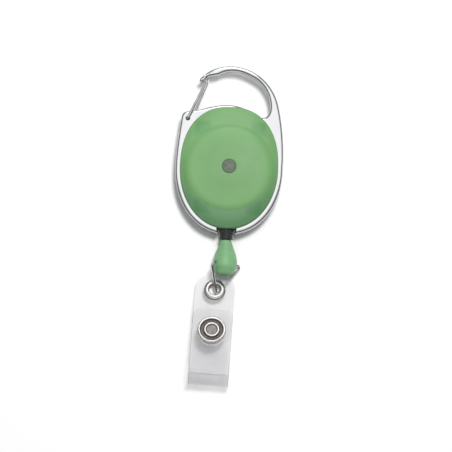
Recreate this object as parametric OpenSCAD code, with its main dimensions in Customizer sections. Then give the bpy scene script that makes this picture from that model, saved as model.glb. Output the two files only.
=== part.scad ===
// Retractable badge reel with a carabiner frame and a clear snap strap.
// Millimetres. The reel lies on its flat back, +Z up, hook towards +Y, strap towards -Y.
// The origin is on the spool's axis, on the flat back of the housing.

/* [Housing] */
// Width of the oval housing
shell_w = 36.6; // [36:0.1:38]
// Length of the oval housing
shell_l = 46; // [45:0.1:48]
// Height of the housing, from its flat back to the top of its dome
shell_h = 12; // [11.8:0.1:13]
// Height of the plane where the two shells meet, which is the cord's plane too
cord_z = 5.6; // [5.5:0.05:5.7]
// Thickness of the housing's walls
wall = 1.2; // [1:0.05:1.3]
// Diameter of the round raised dome
dome_d = 33.4; // [33:0.1:34]

/* [Carabiner frame] */
// Width of the oval ring
frame_w = 40; // [39.6:0.1:41]
// Thickness of the die-cast plate
frame_t = 4.4; // [4.2:0.1:4.6]
// Distance from the spool's axis to the top of the hook
hook_top = 38.8; // [38.4:0.1:39.5]
// Distance from the spool's axis to the bottom of the ring
ring_bottom = 24.7; // [24.5:0.1:25.5]
// Width of the slot where the cord leaves the ring
slot_w = 6.5; // [6:0.1:7]

/* [Wire gate] */
// Diameter of the gate's wire
gate_wire = 1.04; // [1:0.02:1.06]
// Angle that the gate can open
gate_travel = 28; // [20:1:28]

/* [Spool and spring] */
// Radius of the spool's flanges
spool_r = 15.2; // [15:0.05:15.3]
// Radius of the drum that the cord is wound on
drum_r = 10.5; // [10.3:0.1:11]
// Width of the cord groove
groove_w = 2; // [1.8:0.1:2]
// Diameter of the cord
cord_d = 0.8; // [0.7:0.05:0.85]
// Number of turns in the flat spring
spring_turns = 7; // [5:1:9]
// Diameter of the rivet that the spool turns on
axle_d = 3; // [2.8:0.1:3]

/* [Cord end] */
// Diameter of the black stop
stop_d = 5.1; // [4.9:0.1:5.2]
// Largest diameter of the tear-shaped fitting
fitting_d = 8.9; // [8.5:0.1:9]
// Diameter of the link's wire
link_wire = 1; // [0.9:0.02:1]
// Side of the link's triangle, measured to its sharp corners
link_side = 14.5; // [14.4:0.1:14.6]
// Roll of the link and the fitting about the cord
link_roll = 39.5; // [39:0.5:40]
// Angle that the link hangs below the cord's plane
link_drop = 23.2; // [22.8:0.1:23.5]

/* [Strap] */
// Width of the vinyl strap
strap_w = 14.8; // [14:0.1:16]
// Thickness of the vinyl
strap_t = 0.5; // [0.4:0.05:0.6]
// Outer diameter of the eyelet
eyelet_d = 8.1; // [7.8:0.1:8.2]
// Diameter of the eyelet's hole
eyelet_hole = 4.4; // [4.3:0.05:4.6]
// Outer diameter of the snap
snap_d = 10.6; // [10:0.1:11]
// Distance along the strap from the eyelet to the snap
snap_reach = 16.4; // [16:0.1:17]
// Distance along the strap from the snap to the start of the fold
fold_reach = 15.5; // [15.2:0.1:17]

/* [Hidden] */
// Heights of the frame plate
frame_bottom = cord_z - frame_t / 2;
frame_top = cord_z + frame_t / 2;
// Gap between pieces that are clamped or that pass each other
gap = 0.05;
// Share of the oval's fullness above and below the spool's axis
full_top = 2.3;
full_bottom = 2.05;
// Inset of the shells' spigots inside the frame, and of their cavity
spigot_in = 1.4;
cavity_in = 2.4;
// Inner radius under the dome, and the posts that close the shells
chamber_r = 15.7;
posts = [[-6.5, 17], [6.5, 17], [-8.5, -15.6], [8.5, -15.6]];
post_r = 1.3;
peg_r = 0.7;
// Rivet head and washer
head_r = 2.6;
head_h = 0.7;
washer_r = 3.3;
washer_z = 0.5;
washer_t = 0.4;
arbor_r = 2.8;
arbor_top = 7.6;
// Spool levels
groove_low = cord_z - groove_w / 2;
groove_high = cord_z + groove_w / 2;
flange_t = 0.7;
cup_low = 2.6;
web_low = 8.5;
web_high = 9.3;
wound_r = 14.2;
running = 0.05;
// Gate: pin in the front hole, pin in the rear slot, and the loop at the nose
gate_pin = [-16.1, 18.2];
gate_heel = [-14.6, 19];
gate_nose = [-9.3, 33.35];
gate_rise = 0.65;
gate_pin_bend = 0.7;
gate_loop_bend = 1.2;
// Depths of the front hole, of its countersink and of the rear slot, whose ends go a hair deeper
front_hole_deep = 2.2;
sink_deep = 0.4;
slot_deep = 1.6;
hair = 0.02;
// How far a wire's straight runs are let into its bends, and how much thinner they are
let_in = 0.06;
thinner = 0.012;
// Cord end levels, as distances from the spool's axis
stop_start = 23.15;
stop_end = 26.7;
fitting_start = 26.95;
fitting_end = 39.8;
bar_y = 35.6;
knot_y = 31;
// Half length of the fitting's straight belt round the link's bar
belt = 0.8;
// The link's inside corner radius, and how far its bar sits off the middle of the fitting
link_corner = 1.2;
link_shift = 0.76;
// Route of the cord from the winding to the knot in the end fitting
cord_route = [[11.1, -9.6], [6, -15.5], [1.4, -20.8], [0.3, -22], [0, -23], [0, -27], [0, -30.9]];
// Strap placing and bends
eye = [-3.38, -45.3, 3.16];
strap_yaw = -1.7;
eye_slope = 15.7;
snap_slope = 15.7;
strap_end = 5.9;
tail_end = 10.3;
layer_gap = 3.5;
snap_flat = 5.3;
// Bend from the snap's slope to the level, and the corners cut round at the strap's two ends
crest_bend = 4.2;
front_corner = 5;
tail_corner = 2.5;

$fn = 48;

// ---------- shared shapes ----------

function unit(v) = v / norm(v);

function last(list) = list[len(list) - 1];

function fullness(s) = s > 0 ? full_top : full_bottom;

function power(v, e) = sign(v) * pow(abs(v), e);

// Oval with a fuller upper half, as points
function oval(a, b, count = 80) = [
    for (i = [0 : count - 1])
        let (t = 360 * i / count, e = 2 / fullness(sin(t)))
        [a * power(cos(t), e), b * power(sin(t), e)]
];

// Cubic curve without its last point
function curve(a, b, c, d, count = 10) = [
    for (i = [0 : count - 1])
        let (t = i / count, s = 1 - t)
        s * s * s * a + 3 * s * s * t * b + 3 * s * t * t * c + t * t * t * d
];

// Slice of the housing, inset from its outline
module slice(inset, z, h) {
    translate([0, 0, z])
        linear_extrude(h)
            polygon(oval(shell_w / 2 - inset, shell_l / 2 - inset));
}

// Sloping band between two slices
module band(inset_a, z_a, inset_b, z_b) {
    hull() {
        slice(inset_a, z_a, 0.01);
        slice(inset_b, z_b - 0.01, 0.01);
    }
}

// Round rod between two points, a hair thinner than the bends and let into them at both ends
module rod(p, q, d) {
    v = q - p;
    translate(p)
        rotate([0, acos(v[2] / norm(v)), atan2(v[1], v[0])])
            translate([0, 0, -let_in])
                cylinder(d = d - thinner, h = norm(v) + 2 * let_in, $fn = 24);
}

// Quarter bend about centre c, from direction u to direction v
module quarter_bend(c, u, v, r, d) {
    w = cross(u, v);
    multmatrix([
        [u[0], v[0], w[0], c[0]],
        [u[1], v[1], w[1], c[1]],
        [u[2], v[2], w[2], c[2]],
        [0, 0, 0, 1]
    ])
        rotate_extrude(angle = 90)
            translate([r, 0])
                circle(d = d, $fn = 24);
}

// Turns a shape's Z axis onto the cord's axis, so its height is a distance along the cord
module along_cord() {
    translate([0, 0, cord_z])
        rotate([90, 0, 0])
            children();
}

// ---------- carabiner frame ----------

half_w = frame_w / 2;

ring_outline = [
    for (i = [0 : 40])
        let (t = 180 + 180 * i / 40, e = 2 / 2.1)
        [half_w * power(cos(t), e), ring_bottom * power(sin(t), e)]
];

hook_outside = concat(
    curve([half_w, 1], [half_w + 0.3, 8], [half_w - 0.7, 17], [half_w - 2.3, 23.5]),
    curve([half_w - 2.3, 23.5], [half_w - 4.1, 32], [8.9, hook_top], [-0.7, hook_top], 16),
    curve([-0.7, hook_top], [-4.2, hook_top], [-7.9, hook_top - 1.3], [-10, hook_top - 3.1], 8),
    curve([-10, hook_top - 3.1], [-11.4, hook_top - 4.3], [-13.2, 33.2], [-12.1, 32.4], 8)
);

nose_inside = [[-11.7, 32.3], [-10.1, 33.2], [-9.9, 34.05], [-8.6, 34.7]];

eye_outline = concat(
    nose_inside,
    curve([-5.3, 35.4], [-4, 36.3], [-2.2, 36.95], [0.3, 36.95], 8),
    curve([0.3, 36.95], [2.8, 36.95], [5.3, 36], [7.8, 34.7], 8),
    curve([7.8, 34.7], [12.2, 32.5], [14.6, 27.5], [14.4, 23], 12),
    curve([14.4, 23], [14.2, 20.3], [12.4, 19], [10.8, 19.85], 8),
    curve([10.8, 19.85], [8.5, 21.2], [4.5, 24], [-1.2, 23.95], 12),
    curve([-1.2, 23.95], [-7, 23.9], [-11, 21.6], [-16.2, 21], 12),
    curve([-16.2, 21], [-17.8, 20.8], [-18.4, 20.2], [-18.6, 18.4], 6),
    curve([-18.6, 18.4], [-19.2, 13], [-half_w, 6], [-half_w, 1], 8)
);

module gate_holes() {
    hole_r = gate_wire / 2 + running;
    over = 1;
    reach = norm(gate_heel - gate_pin);
    heel_angle = atan2(gate_heel[1] - gate_pin[1], gate_heel[0] - gate_pin[0]);
    // Front hole with its countersink
    translate([gate_pin[0], gate_pin[1], frame_top - front_hole_deep])
        cylinder(r = hole_r, h = front_hole_deep + over, $fn = 32);
    translate([gate_pin[0], gate_pin[1], frame_top - sink_deep])
        cylinder(r1 = hole_r - gap, r2 = hole_r + sink_deep + gap, h = sink_deep + 0.1, $fn = 32);
    // Rear slot, an arc about the front hole, with round ends a hair narrower and deeper
    translate([gate_pin[0], gate_pin[1], frame_bottom - over]) {
        rotate([0, 0, heel_angle - gate_travel - 1])
            rotate_extrude(angle = gate_travel + 2)
                translate([reach - hole_r - hair, 0])
                    square([2 * (hole_r + hair), slot_deep + over]);
        for (a = [heel_angle + 1, heel_angle - gate_travel - 1])
            rotate([0, 0, a])
                translate([reach, 0, 0])
                    cylinder(r = hole_r, h = slot_deep + 0.1 + over, $fn = 32);
    }
}

module carabiner_frame() {
    color([0.85, 0.86, 0.88])
        difference() {
            translate([0, 0, frame_bottom])
                linear_extrude(frame_t)
                    polygon(concat(ring_outline, hook_outside, eye_outline));
            slice(spigot_in - gap, 0, shell_h);
            // Slot for the cord at the bottom of the ring
            translate([-slot_w / 2, -ring_bottom - 5, 0])
                cube([slot_w, 10, shell_h]);
            gate_holes();
        }
}

module wire_gate() {
    front_z = frame_top + gate_rise;
    rear_z = frame_bottom - gate_rise;
    up = [0, 0, 1];
    out_2d = unit(gate_nose - gate_pin);
    back_2d = unit(gate_nose - gate_heel);
    out = [out_2d[0], out_2d[1], 0];
    back = [back_2d[0], back_2d[1], 0];
    pin = [gate_pin[0], gate_pin[1], 0];
    heel = [gate_heel[0], gate_heel[1], 0];
    nose = [gate_nose[0], gate_nose[1], 0];
    b = gate_pin_bend;
    r = gate_loop_bend;
    color([0.8, 0.81, 0.82])
        union() {
            // Front pin and leg
            rod(pin + (frame_top - 2) * up, pin + (front_z - b) * up, gate_wire);
            quarter_bend(pin + b * out + (front_z - b) * up, -out, up, b, gate_wire);
            rod(pin + b * out + front_z * up, nose - r * out + front_z * up, gate_wire);
            // Loop across the nose
            quarter_bend(nose - r * out + (front_z - r) * up, up, out, r, gate_wire);
            rod(nose + (front_z - r) * up, nose + (rear_z + r) * up, gate_wire);
            quarter_bend(nose - r * back + (rear_z + r) * up, back, -up, r, gate_wire);
            // Rear leg and pin
            rod(nose - r * back + rear_z * up, heel + b * back + rear_z * up, gate_wire);
            quarter_bend(heel + b * back + (rear_z + b) * up, -up, -back, b, gate_wire);
            rod(heel + (rear_z + b) * up, heel + (frame_bottom + 1.5) * up, gate_wire);
        }
}

// ---------- housing ----------

// The cord's hole through the rim, its funnel inside, and the seat of the stop outside
module cord_exit() {
    hole_r = 1;
    mouth_r = 3;
    funnel_y = 19.5;
    funnel_l = 2.7;
    seat_gap = 0.25;
    along_cord() {
        translate([0, 0, funnel_y - 1.5])
            cylinder(r = hole_r, h = 8, $fn = 32);
        translate([0, 0, funnel_y])
            cylinder(r1 = mouth_r, r2 = hole_r, h = funnel_l, $fn = 32);
        translate([0, 0, stop_start - seat_gap])
            cylinder(d = stop_d + 0.6, h = 3);
    }
}

// Round dome as a solid of revolution, from z_low up, with a rounded shoulder
module dome(r, z_low, z_side, z_top, shoulder) {
    rotate_extrude($fn = 96)
        polygon(concat(
            [[0, z_low], [r, z_low]],
            curve([r, z_side], [r, z_side + shoulder * 0.6],
                [r - shoulder * 0.6, z_side + shoulder], [r - shoulder * 1.3, z_side + shoulder * 1.15], 6),
            curve([r - shoulder * 1.3, z_side + shoulder * 1.15],
                [r * 0.6, z_top - 0.15], [r * 0.3, z_top], [0, z_top], 6),
            [[0, z_top]]
        ));
}

module front_shell() {
    rim_low = frame_top + gap;
    rim_high = rim_low + 0.75;
    // Inset and height of the rim's rounded edge, then of its gentle slope
    edge = [0.7, 0.75];
    slope = [3.2, 1.4];
    color([0.5, 0.74, 0.46, 0.8])
        difference() {
            union() {
                difference() {
                    union() {
                        slice(spigot_in, cord_z, rim_low - cord_z + 0.1);
                        slice(0, rim_low, rim_high - rim_low);
                        band(0, rim_high, edge[0], rim_high + edge[1]);
                        band(edge[0], rim_high + edge[1], slope[0], rim_high + slope[1]);
                        dome(dome_d / 2, rim_high, shell_h - 2.3, shell_h, 1.1);
                    }
                    slice(cavity_in, cord_z - 1, rim_high + 0.2 - cord_z + 1);
                    dome(chamber_r, cord_z - 1, shell_h - 2.4, shell_h - wall, 0.6);
                }
                // Boss under the rivet's head
                translate([0, 0, shell_h - 2])
                    cylinder(r = 3.2, h = 1.2);
                for (p = posts)
                    translate([p[0], p[1], 0]) {
                        translate([0, 0, cord_z])
                            cylinder(r = post_r, h = 3.4, $fn = 32);
                        translate([0, 0, cord_z - 2.4])
                            cylinder(r = peg_r, h = 3, $fn = 32);
                    }
            }
            translate([0, 0, shell_h - head_h])
                cylinder(r = head_r + gap, h = 1);
            translate([0, 0, shell_h - 3])
                cylinder(r = axle_d / 2 + gap, h = 4);
            cord_exit();
        }
}

module back_shell() {
    rim_high = frame_bottom - gap;
    color([0.45, 0.68, 0.42, 0.8])
        difference() {
            union() {
                difference() {
                    union() {
                        band(2.4, 0, 0.8, 0.9);
                        band(0.8, 0.9, 0, 2.2);
                        slice(0, 2.2, rim_high - 2.2);
                        slice(spigot_in, rim_high - 0.1, cord_z - rim_high + 0.1);
                    }
                    slice(cavity_in, wall, cord_z);
                }
                // Floor boss and the slotted arbor that holds the spring's inner end
                cylinder(r = 4.4, h = 1.9);
                difference() {
                    cylinder(r = arbor_r, h = arbor_top);
                    translate([0, -0.3, 1.9])
                        cube([arbor_r + 1, 0.6, arbor_top]);
                }
                for (p = posts)
                    translate([p[0], p[1], wall - 0.1])
                        cylinder(r = post_r, h = cord_z - wall + 0.1, $fn = 32);
                chamber_wall();
            }
            for (p = posts)
                translate([p[0], p[1], cord_z - 2.6])
                    cylinder(r = peg_r + gap, h = 3, $fn = 32);
            // Recess that hides the washer
            translate([0, 0, -1])
                cylinder(r = washer_r + 0.2, h = 1 + washer_z + washer_t);
            cylinder(r = axle_d / 2 + gap, h = shell_h);
            cord_exit();
        }
}

// Ribs that keep the spool round in the oval's two ends, open where the cord passes
module chamber_wall() {
    difference() {
        intersection() {
            difference() {
                cylinder(r = chamber_r + 0.6, h = cord_z, $fn = 96);
                cylinder(r = chamber_r, h = 2 * cord_z, $fn = 96);
            }
            slice(cavity_in - 0.2, wall - 0.1, cord_z);
        }
        translate([-5, -22, wall])
            cube([20, 14, cord_z]);
    }
}

module axle_rivet() {
    color([0.5, 0.53, 0.5])
        union() {
            translate([0, 0, shell_h - head_h])
                cylinder(r = head_r, h = head_h);
            translate([0, 0, washer_z])
                cylinder(d = axle_d, h = shell_h - head_h - washer_z);
            // Closed end over the washer, flush with the back
            cylinder(r1 = 1.7, r2 = 2.1, h = washer_z);
        }
}

module rivet_washer() {
    color([0.7, 0.7, 0.68])
        difference() {
            translate([0, 0, washer_z])
                cylinder(r = washer_r, h = washer_t);
            cylinder(d = axle_d, h = 3);
        }
}

// ---------- spool and spring ----------

module spool() {
    bore_r = axle_d / 2 + running;
    cup_r = drum_r - 0.8;
    color([0.92, 0.93, 0.9])
        difference() {
            rotate_extrude($fn = 96)
                polygon([
                    [bore_r, 7.9], [3.2, 7.9], [3.2, web_low], [cup_r, web_low], [cup_r, cup_low],
                    [drum_r, cup_low], [drum_r, groove_low - flange_t],
                    [spool_r, groove_low - flange_t], [spool_r, groove_low],
                    [drum_r, groove_low], [drum_r, groove_high],
                    [spool_r, groove_high], [spool_r, groove_high + flange_t],
                    [drum_r, groove_high + flange_t], [drum_r, web_high],
                    [3.2, web_high], [3.2, web_high + 0.4], [bore_r, web_high + 0.4]
                ]);
            // Hole in the upper flange for the cord's inner end
            translate([0, drum_r + 0.9, groove_high - 0.1])
                cylinder(r = 0.55, h = flange_t + 0.2, $fn = 24);
        }
}

module spring_cover() {
    color([0.85, 0.86, 0.84])
        difference() {
            translate([0, 0, cup_low - 0.4])
                cylinder(r = drum_r, h = 0.4, $fn = 96);
            cylinder(r = arbor_r + 0.3, h = 5);
        }
}

function spring_point(t, side) =
    let (r = 3.05 + (drum_r - 1.25 - 3.05) * t + side * 0.1, a = 360 * spring_turns * t)
    [r * cos(a), r * sin(a)];

module mainspring() {
    steps = spring_turns * 18;
    color([0.6, 0.62, 0.66])
        translate([0, 0, 2.9])
            linear_extrude(4.7)
                polygon(concat(
                    [[1.9, -0.1], [3.05, -0.1]],
                    [for (i = [0 : steps]) spring_point(i / steps, 1)],
                    [for (i = [steps : -1 : 1]) spring_point(i / steps, -1)],
                    [[2.9, 0.1], [1.9, 0.1]]
                ));
}

module wound_cord() {
    color([0.93, 0.93, 0.92])
        translate([0, 0, groove_low + gap])
            difference() {
                cylinder(r = wound_r, h = groove_w - 2 * gap, $fn = 96);
                translate([0, 0, -1])
                    cylinder(r = drum_r + gap, h = groove_w + 2, $fn = 96);
            }
}

// The cord's inner end: a stub through the flange, with a knot above it
module cord_anchor() {
    color([0.93, 0.93, 0.92])
        translate([0, drum_r + 0.9, 0])
            union() {
                translate([0, 0, groove_high])
                    cylinder(d = cord_d, h = flange_t + 0.6, $fn = 24);
                translate([0, 0, groove_high + flange_t + 0.82])
                    sphere(r = 0.8, $fn = 24);
            }
}

// ---------- cord end ----------

// Tube along a flat route, one ring of sides at each point
module cord_tube(route, z, d, sides = 8) {
    count = len(route);
    rings = [
        for (i = [0 : count - 1])
            let (
                before = route[max(i - 1, 0)],
                after = route[min(i + 1, count - 1)],
                along = unit(after - before),
                across = [along[1], -along[0]]
            )
            for (k = [0 : sides - 1])
                let (a = 360 * (k + 0.5) / sides, r = d / 2)
                [
                    route[i][0] + across[0] * r * cos(a),
                    route[i][1] + across[1] * r * cos(a),
                    z + r * sin(a)
                ]
    ];
    sides_faces = [
        for (i = [0 : count - 2])
            for (k = [0 : sides - 1])
                let (n = (k + 1) % sides)
                [i * sides + k, i * sides + n, (i + 1) * sides + n, (i + 1) * sides + k]
    ];
    start_face = [[for (k = [sides - 1 : -1 : 0]) k]];
    end_face = [[for (k = [0 : sides - 1]) (count - 1) * sides + k]];
    polyhedron(rings, concat(sides_faces, start_face, end_face));
}

module cord_lead() {
    color([0.93, 0.93, 0.92])
        cord_tube(cord_route, cord_z, cord_d * 0.96);
}

module cord_stop() {
    lip = 0.6;
    color([0.1, 0.11, 0.11])
        along_cord()
            rotate_extrude()
                polygon([
                    [cord_d / 2, stop_start], [stop_d / 2 - 0.15, stop_start],
                    [stop_d / 2, stop_start + 0.15], [stop_d / 2, stop_start + lip],
                    [stop_d / 2 - 0.2, stop_start + lip + 0.15],
                    [stop_d / 2 - 0.2, stop_end - lip - 0.15],
                    [stop_d / 2, stop_end - lip], [stop_d / 2, stop_end - 0.15],
                    [stop_d / 2 - 0.15, stop_end], [cord_d / 2, stop_end]
                ]);
}

module cord_knot() {
    color([0.93, 0.93, 0.92])
        along_cord()
            translate([0, 0, knot_y + 0.3])
                sphere(r = 1.05, $fn = 24);
}

// Places the link and the fitting's cross hole: bar along X, link towards -Y
module at_bar() {
    translate([0, -bar_y, cord_z])
        rotate([0, link_roll, 0])
            children();
}

module end_fitting() {
    widest = fitting_d / 2;
    color([0.42, 0.68, 0.4, 0.9])
        difference() {
            along_cord()
                difference() {
                    rotate_extrude($fn = 72)
                        polygon(concat(
                            [[0, fitting_start]],
                            curve([1.6, fitting_start], [1.9, fitting_start], [2, fitting_start + 0.2],
                                [2.1, fitting_start + 0.5], 4),
                            curve([2.1, fitting_start + 0.5], [2.9, 30],
                                [widest, 32.6], [widest, bar_y - belt], 12),
                            curve([widest, bar_y + belt], [widest, 37.2], [3.8, 38.2], [3.3, 39.1], 8),
                            curve([3.3, 39.1], [3, 39.6], [2.8, fitting_end], [2.2, fitting_end], 4),
                            [[2.2, fitting_end], [0, fitting_end]]
                        ));
                    // Cord bore and the pocket that the knot turns in
                    translate([0, 0, fitting_start - 1])
                        cylinder(r = 0.6, h = 4, $fn = 32);
                    translate([0, 0, knot_y - 1.3])
                        cylinder(r = 1.5, h = 3, $fn = 32);
                }
            at_bar()
                rotate([0, 90, 0])
                    cylinder(r = link_wire / 2 + running, h = 20, center = true, $fn = 32);
        }
}

link_height = link_side * sqrt(3) / 2;
link_points = [[-link_side / 2, 0], [0, -link_height], [link_side / 2, 0]];
link_middle = [0, -link_height / 3];

module wire_link() {
    trim = link_corner * sqrt(3);
    color([0.7, 0.71, 0.72])
        at_bar()
            rotate([link_drop, 0, 0])
                translate([link_shift, 0, 0])
                    union()
                        for (i = [0 : 2]) {
                            p = link_points[i];
                            q = link_points[(i + 1) % 3];
                            c = p + 2 * link_corner * unit(link_middle - p);
                            side = unit(q - p);
                            rod([p[0] + trim * side[0], p[1] + trim * side[1], 0],
                                [q[0] - trim * side[0], q[1] - trim * side[1], 0], link_wire);
                            translate([c[0], c[1], 0])
                                rotate([0, 0, 90 + 120 * i])
                                    rotate_extrude(angle = 120)
                                        translate([link_corner, 0])
                                            circle(d = link_wire, $fn = 24);
                        }
}

// ---------- strap ----------

// Follows bends given as [length, turn] from [u, z, heading]; returns the states along them
function bend_end(s, b) =
    let (l = b[0], h0 = s[2], h1 = s[2] + b[1])
    b[1] == 0
        ? [s[0] + l * cos(h0), s[1] + l * sin(h0), h0]
        : let (r = l / (b[1] * PI / 180))
            [s[0] + r * (sin(h1) - sin(h0)), s[1] - r * (cos(h1) - cos(h0)), h1];

function bend_steps(s, b, n) = [for (i = [1 : n]) bend_end(s, [b[0] * i / n, b[1] * i / n])];

function follow(s, bends, i = 0) =
    i == len(bends) ? [] :
    let (n = bends[i][1] == 0 ? 1 : max(2, ceil(abs(bends[i][1]) / 9)), part = bend_steps(s, bends[i], n))
    concat(part, follow(part[n - 1], bends, i + 1));

// Closed outline of a layer of vinyl along its middle line
function layer(line) = concat(
    [for (p = line) [p[0] - sin(p[2]) * strap_t / 2, p[1] + cos(p[2]) * strap_t / 2]],
    [for (i = [len(line) - 1 : -1 : 0])
        let (p = line[i])
        [p[0] + sin(p[2]) * strap_t / 2, p[1] - cos(p[2]) * strap_t / 2]]
);

// Middle line of the front layer: u runs from the eyelet towards the fold, then z and heading
front_start = [-strap_end * cos(eye_slope), eye[2] - strap_end * sin(eye_slope), eye_slope];
ease = 6;
front_rise = [
    [strap_end + snap_reach - snap_flat - ease, 0],
    [ease, snap_slope - eye_slope],
    [2 * snap_flat, 0],
    [crest_bend, -snap_slope]
];
rise_line = follow(front_start, front_rise);
crest = last(rise_line);
fold_r = (crest[1] - strap_t / 2) / 2;
fold_flat = fold_reach - snap_flat - crest_bend;
front_bends = concat(front_rise, [[fold_flat, 0], [fold_r * PI / 2, -90]]);
front_line = concat([front_start], follow(front_start, front_bends));
fold_tip = last(front_line);

// Where the snap sits on the front layer and on the back layer
snap_front = bend_end(last(follow(front_start, [front_rise[0], front_rise[1]])), [snap_flat, 0]);
snap_back = [
    snap_front[0] + layer_gap * sin(snap_slope),
    snap_front[1] - layer_gap * cos(snap_slope),
    snap_slope
];

// The back layer leaves the fold rising at lift, then eases onto the snap's slope
lift = 42;
lift_r = 4;
lift_start = [fold_tip[0] - fold_r - lift_r * sin(lift), strap_t / 2 + lift_r * (1 - cos(lift)), 0];
flat_start = [
    snap_back[0] + snap_flat * cos(snap_slope),
    snap_back[1] + snap_flat * sin(snap_slope)
];
run_u = lift_start[0] - flat_start[0];
run_z = flat_start[1] - lift_start[1];
ease_u = sin(lift) + sin(snap_slope);
ease_z = cos(snap_slope) - cos(lift);
ease_r = (run_u * sin(lift) - run_z * cos(lift)) / (ease_u * sin(lift) - ease_z * cos(lift));
lift_run = (run_z - ease_r * ease_z) / sin(lift);
back_bends = [
    [fold_r * PI / 2, -90],
    [lift_r * lift * PI / 180, -lift],
    [lift_run, 0],
    [ease_r * (lift + snap_slope) * PI / 180, lift + snap_slope],
    [snap_flat + tail_end, 0]
];
back_line = concat([fold_tip], follow(fold_tip, back_bends));

// Places a shape in the strap's own frame, with u along -Y
module at_strap() {
    translate([eye[0], eye[1], 0])
        rotate([0, 0, strap_yaw])
            children();
}

// Places a shape at a spot on the strap's middle line, with +Z out of the front face
module on_strap(spot) {
    at_strap()
        translate([0, -spot[0], spot[1]])
            rotate([-spot[2], 0, 0])
                children();
}

module vinyl(line) {
    translate([strap_w / 2, 0, 0])
        rotate([90, 0, -90])
            linear_extrude(strap_w)
                polygon(layer(line));
}

// Block with two rounded corners at its +Y end
module rounded_end(y_end, length, r) {
    translate([0, y_end, -1])
        linear_extrude(20)
            union() {
                translate([-strap_w, -length])
                    square([2 * strap_w, length - r]);
                translate([r - strap_w / 2, -2 * r])
                    square([strap_w - 2 * r, 2 * r]);
                for (x = [r - strap_w / 2, strap_w / 2 - r])
                    translate([x, -r])
                        circle(r = r);
            }
}

module strap_front() {
    color([0.85, 0.87, 0.88, 0.5])
        difference() {
            at_strap()
                intersection() {
                    vinyl(front_line);
                    rounded_end(-front_start[0], 60, front_corner);
                }
            on_strap([0, eye[2], eye_slope])
                cylinder(d = eyelet_hole + 0.7, h = 2, center = true, $fn = 48);
            on_strap(snap_front)
                cylinder(r = 2, h = 2, center = true, $fn = 48);
        }
}

module strap_back() {
    tail = last(back_line);
    color([0.8, 0.82, 0.84, 0.5])
        difference() {
            at_strap()
                intersection() {
                    vinyl(back_line);
                    rounded_end(-tail[0] + 0.2, 60, tail_corner);
                }
            on_strap(snap_back)
                cylinder(r = 1.2, h = 2, center = true, $fn = 48);
        }
}

module eyelet() {
    hole_r = eyelet_hole / 2;
    face = strap_t / 2;
    color([0.62, 0.6, 0.57])
        on_strap([0, eye[2], eye_slope])
            rotate_extrude($fn = 64)
                polygon([
                    [hole_r, -0.65], [hole_r + 0.15, -0.8], [hole_r + 0.75, -0.8], [hole_r + 0.9, -0.62],
                    [hole_r + 0.3, -0.62], [hole_r + 0.3, face], [eyelet_d / 2 - 0.1, face],
                    [eyelet_d / 2, face + 0.15], [eyelet_d / 2 - 0.25, face + 0.4],
                    [hole_r + 0.9, 0.78], [hole_r + 0.3, 0.78], [hole_r, 0.6]
                ]);
}

module eyelet_washer() {
    inner = eyelet_hole / 2 + 0.35;
    color([0.62, 0.6, 0.57])
        on_strap([0, eye[2], eye_slope])
            rotate_extrude($fn = 64)
                polygon([
                    [inner, -0.6], [eyelet_d / 2 - 0.2, -0.5], [eyelet_d / 2, -0.35],
                    [eyelet_d / 2, -strap_t / 2], [inner, -strap_t / 2]
                ]);
}

// Front of the snap: a rolled rim, a recess and a rolled centre on a hollow post
module snap_cap() {
    r = snap_d / 2;
    face = strap_t / 2;
    color([0.82, 0.82, 0.8])
        on_strap(snap_front)
            rotate_extrude($fn = 64)
                polygon([
                    [1.3, -0.6], [1.9, -0.6], [1.9, face],
                    [r - 0.3, face], [r, face + 0.35], [r, face + 0.8], [r - 0.3, face + 1.15],
                    [r - 0.75, face + 1.2], [r - 1.1, face + 0.9], [r - 1.2, face + 0.35],
                    [2.9, face + 0.35], [2.85, face + 0.9], [2.6, face + 1.2], [2.3, face + 1.2],
                    [2.05, face + 0.9], [2.05, face + 0.5], [0, face + 0.5], [0, face + 0.2],
                    [1.3, face + 0.2]
                ]);
}

module snap_socket() {
    r = snap_d / 2;
    top = -strap_t / 2;
    color([0.75, 0.74, 0.72])
        on_strap(snap_front)
            rotate_extrude($fn = 64)
                polygon([
                    [1.95, top], [r - 0.5, top], [r - 0.1, top - 0.3], [r - 0.1, -2.2], [r - 0.5, -2.55],
                    [2.9, -2.55], [2.5, -2.3], [2.5, -2], [r - 0.9, -2], [r - 0.9, -1], [1.95, -1]
                ]);
}

// Wire ring that springs over the stud's knob
module snap_spring() {
    color([0.8, 0.8, 0.8])
        on_strap(snap_front)
            translate([0, 0, -1.74])
                rotate([0, 0, 20])
                    rotate_extrude(angle = 320, $fn = 48)
                        translate([2.35, 0])
                            circle(r = 0.25, $fn = 16);
}

module snap_stud() {
    up = strap_t / 2;
    color([0.75, 0.74, 0.72])
        on_strap(snap_back)
            rotate_extrude($fn = 64)
                polygon([
                    [0, up], [4.6, up], [4.6, up + 0.2], [4.3, up + 0.35], [1.75, up + 0.35],
                    [1.55, up + 0.7], [1.55, up + 1], [1.75, up + 1.4], [1.5, up + 1.75], [0.9, up + 1.85],
                    [0, up + 1.85]
                ]);
}

module snap_post() {
    down = -strap_t / 2;
    color([0.78, 0.77, 0.75])
        on_strap(snap_back)
            rotate_extrude($fn = 64)
                polygon([
                    [0, down - 0.6], [1.6, down - 0.6], [1.9, down - 0.9], [4, down - 0.9], [4.5, down - 0.6],
                    [4.6, down - 0.2], [4.5, down], [1.15, down], [1.15, strap_t / 2], [0, strap_t / 2]
                ]);
}

carabiner_frame();
wire_gate();
front_shell();
back_shell();
axle_rivet();
rivet_washer();
spool();
spring_cover();
mainspring();
wound_cord();
cord_anchor();
cord_lead();
cord_stop();
cord_knot();
end_fitting();
wire_link();
strap_front();
strap_back();
eyelet();
eyelet_washer();
snap_cap();
snap_socket();
snap_spring();
snap_stud();
snap_post();
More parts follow.
